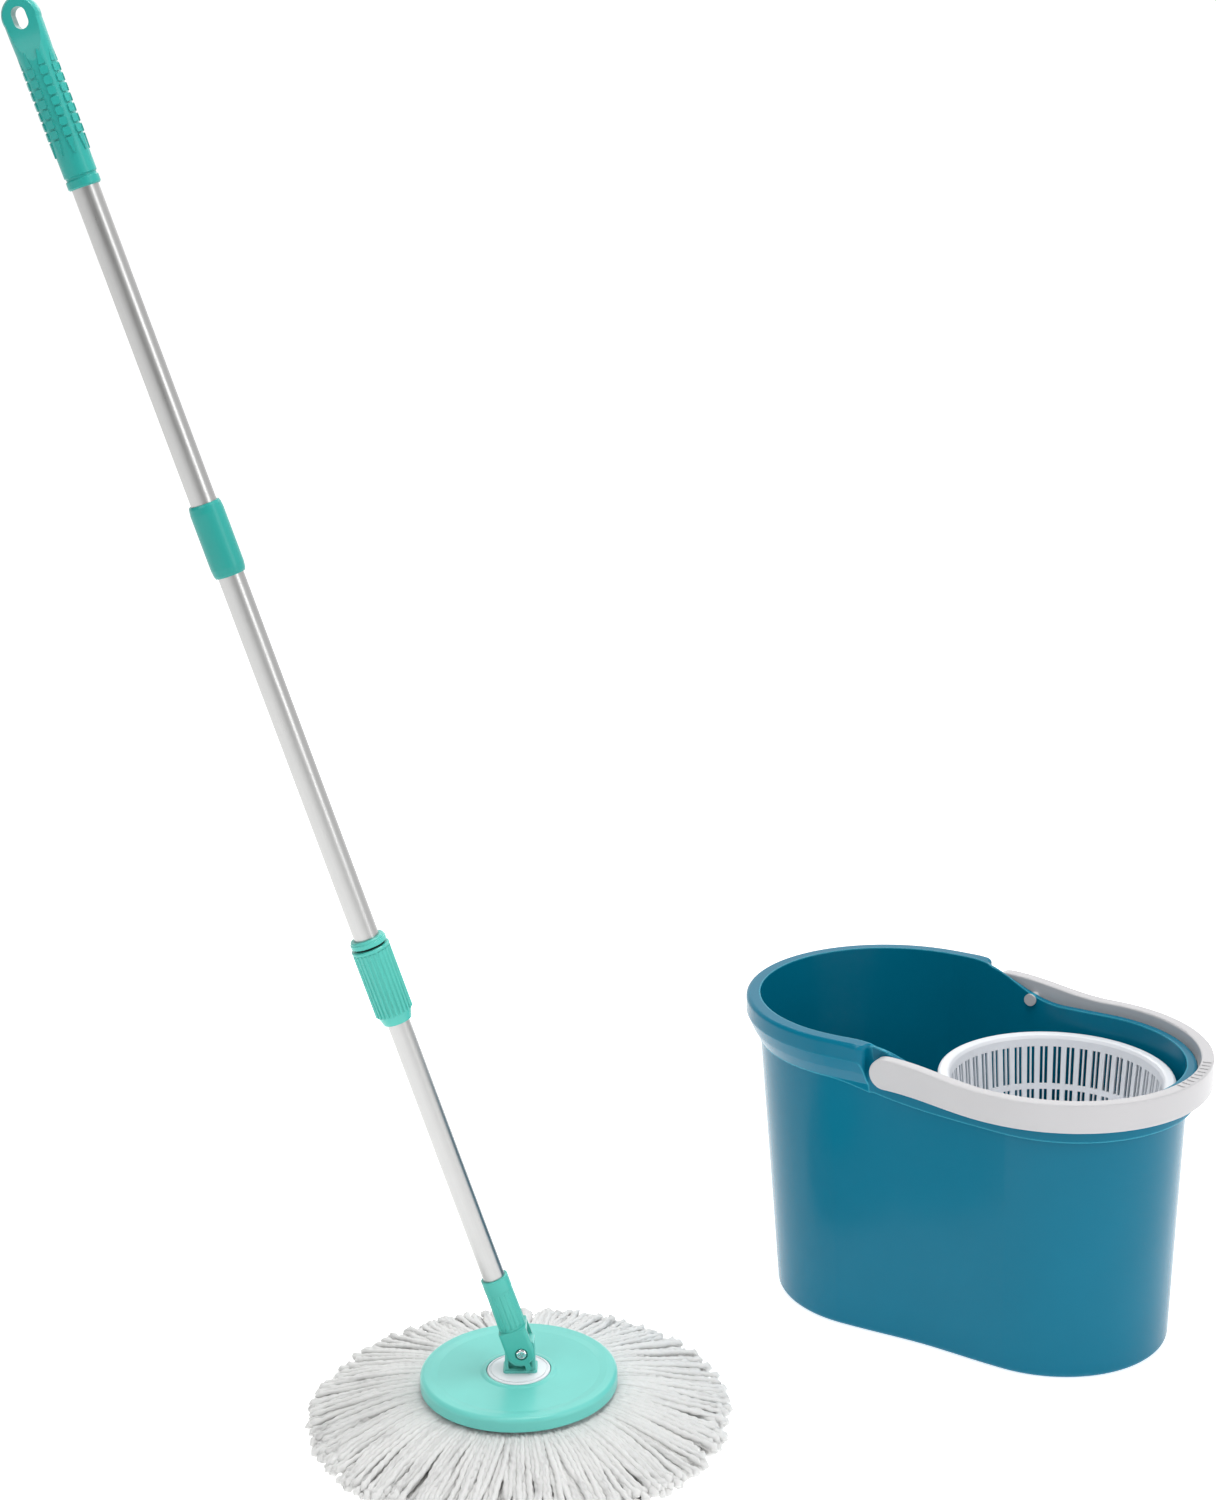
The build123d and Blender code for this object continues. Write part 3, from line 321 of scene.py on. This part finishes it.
def strand_mesh(rng, path, half):
    """A two-ply yarn along path with a soft tufted end."""
    n = len(path)
    ahead = np.gradient(path, axis=0)
    ahead /= np.linalg.norm(ahead, axis=1)[:, None]
    side = np.cross(ahead, (0.0, 0.0, 1.0))
    side /= np.linalg.norm(side, axis=1)[:, None]
    top = np.cross(side, ahead)
    run = np.concatenate([[0.0], np.cumsum(np.linalg.norm(np.diff(path, axis=0), axis=1))])
    left = run[-1] - run
    twist = 6.283 / rng.uniform(15.0, 21.0)
    phase = rng.uniform(0.0, 6.28)
    wide = half * rng.uniform(0.9, 1.08)
    tuft = 1.0 + rng.uniform(0.22, 0.55) * np.exp(-((left - 3.0) / 6.0) ** 2)
    pinch = 1.0 - 0.16 * np.exp(-((left - 14.0) / 4.0) ** 2)
    tip = np.clip(left / 2.6, 0.0, 1.0)
    tip = np.sqrt(1.0 - (1.0 - tip) ** 2) * 0.88 + 0.12
    around = np.arange(SIDES) / SIDES * 2 * math.pi
    grit = np.array([[rng.gauss(0.0, 1.0) for _ in range(SIDES)] for _ in range(n)])
    rough = 0.045 + 0.16 * np.exp(-(left / 7.0) ** 2)
    ply = 1.0 + 0.17 * np.cos(2 * (around[None, :] - twist * run[:, None] - phase))
    radius = wide * (tuft * pinch * tip)[:, None] * (ply + grit * rough[:, None])
    radius = np.maximum(radius, 0.3)
    ring = (
        path[:, None, :]
        + radius[:, :, None] * np.cos(around)[None, :, None] * side[:, None, :]
        + 0.86 * radius[:, :, None] * np.sin(around)[None, :, None] * top[:, None, :]
    )
    verts = ring.reshape(-1, 3)
    verts[:, 2] = np.maximum(verts[:, 2], LOWEST)
    faces = []
    for i in range(n - 1):
        a, b = i * SIDES, (i + 1) * SIDES
        for j in range(SIDES):
            k = (j + 1) % SIDES
            faces.append((a + j, a + k, b + k, b + j))
    faces.append(tuple(range(SIDES - 1, -1, -1)))
    faces.append(tuple((n - 1) * SIDES + j for j in range(SIDES)))
    return verts, faces


def build_layer(index, spec):
    """One ring of strands as a single object."""
    rng = random.Random(100 + index)
    name, count, half = spec[0], spec[1], spec[5]
    verts, faces, base = [], [], 0
    for k in range(count):
        angle = 2 * math.pi * (k + rng.uniform(-0.3, 0.3)) / count + index * 0.7
        part_verts, part_faces = strand_mesh(rng, strand_path(rng, angle % (2 * math.pi), spec), half)
        verts.append(part_verts)
        faces.extend(tuple(v + base for v in face) for face in part_faces)
        base += len(part_verts)
    mesh = bpy.data.meshes.new(name)
    mesh.from_pydata((np.concatenate(verts) * MM).tolist(), [], faces)
    mesh.validate()
    mesh.polygons.foreach_set("use_smooth", [True] * len(mesh.polygons))
    obj = bpy.data.objects.new(name, mesh)
    bpy.context.scene.collection.objects.link(obj)
    return obj


FIBRE = microfibre("white_microfibre", (0.78, 0.78, 0.77))
for index, spec in enumerate(LAYERS):
    layer = build_layer(index, spec)
    layer.data.materials.append(FIBRE)
    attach(layer, "mop_head")
    if index == 0:
        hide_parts("strand_pad")


# ------------------------------------------------------------------ studio
def plane(name, size, at):
    """A square sheet lying level."""
    mesh = bpy.data.meshes.new(name)
    half = size / 2
    corners = [(-half, -half, 0), (half, -half, 0), (half, half, 0), (-half, half, 0)]
    mesh.from_pydata(corners, [], [(0, 1, 2, 3)])
    obj = bpy.data.objects.new(name, mesh)
    obj.location = at
    bpy.context.scene.collection.objects.link(obj)
    return obj


def paper(name, glow):
    """Lit white studio paper."""
    mat, _, bsdf = new_material(name)
    bsdf.inputs["Base Color"].default_value = (0.9, 0.9, 0.9, 1.0)
    bsdf.inputs["Roughness"].default_value = 0.95
    bsdf.inputs["Specular IOR Level"].default_value = 0.1
    bsdf.inputs["Emission Color"].default_value = (1.0, 1.0, 1.0, 1.0)
    bsdf.inputs["Emission Strength"].default_value = glow
    return mat


floor = plane("studio_floor", 30.0, (0.0, 0.0, -0.0004))
floor.data.materials.append(paper("floor_paper", 0.72))

world = bpy.data.worlds.new("studio_world")
world.use_nodes = True
sky = world.node_tree
# The studio is bright behind the set and on its right, and dimmer in front.
where = add(sky, "ShaderNodeTexCoord")
parts = add(sky, "ShaderNodeSeparateXYZ")
sky.links.new(where.outputs["Generated"], parts.inputs["Vector"])
glow = ramp(sky, parts.outputs["Y"], [(0.3, (0.22, 0.22, 0.22)), (0.85, (1.0, 1.0, 1.0))])
side = ramp(sky, parts.outputs["X"], [(0.3, (0.0, 0.0, 0.0)), (0.75, (0.8, 0.8, 0.8))])
both = add(sky, "ShaderNodeVectorMath", operation="MAXIMUM")
sky.links.new(glow, both.inputs[0])
sky.links.new(side, both.inputs[1])
sky.links.new(both.outputs["Vector"], sky.nodes["Background"].inputs["Color"])
sky.nodes["Background"].inputs["Strength"].default_value = 1.05
bpy.context.scene.world = world


def softbox(name, at, aim, size, power):
    """A square lamp at one point, aimed at another."""
    light = bpy.data.lights.new(name, "AREA")
    light.shape = "RECTANGLE"
    light.size, light.size_y = size
    light.energy = power
    obj = bpy.data.objects.new(name, light)
    obj.location = at
    obj.rotation_euler = (Vector(aim) - Vector(at)).to_track_quat("-Z", "Y").to_euler()
    bpy.context.scene.collection.objects.link(obj)
    return obj


softbox("key_light", (-1.3, -1.6, 2.4), (0.1, 0.1, 0.3), (1.1, 1.6), 18.0)
softbox("fill_light", (2.2, -1.2, 1.3), (0.2, 0.1, 0.3), (0.7, 1.6), 10.0)
softbox("inner_light", (0.25, 0.1, 2.0), (0.33, 0.25, 0.1), (0.5, 0.5), 8.0)
softbox("top_light", (0.2, -0.2, 2.3), (0.2, 0.05, 0.0), (1.5, 1.2), 15.0)
softbox("back_light", (0.4, 2.4, 2.2), (0.1, 0.0, 0.4), (2.2, 0.9), 14.0)

# ------------------------------------------------------------------ camera
PITCH = math.radians(14.83)
ROLL = math.radians(-0.81)
forward = Vector((0.0, math.cos(PITCH), -math.sin(PITCH)))
upward = Vector((0.0, math.sin(PITCH), math.cos(PITCH)))
right = Vector((1.0, 0.0, 0.0))
turned_right = math.cos(ROLL) * right + math.sin(ROLL) * upward
turned_up = -math.sin(ROLL) * right + math.cos(ROLL) * upward
lens = bpy.data.cameras.new("photo_camera")
lens.lens = 60.0
lens.sensor_width = 36.0
lens.clip_start = 0.05
camera = bpy.data.objects.new("photo_camera", lens)
turn = Matrix((turned_right, turned_up, -forward)).transposed()
camera.matrix_world = Matrix.Translation((0.0834, -1.9231, 1.1000)) @ turn.to_4x4()
bpy.context.scene.collection.objects.link(camera)
bpy.context.scene.camera = camera

bpy.context.scene.view_settings.view_transform = "Standard"
bpy.context.scene.view_settings.look = "None"
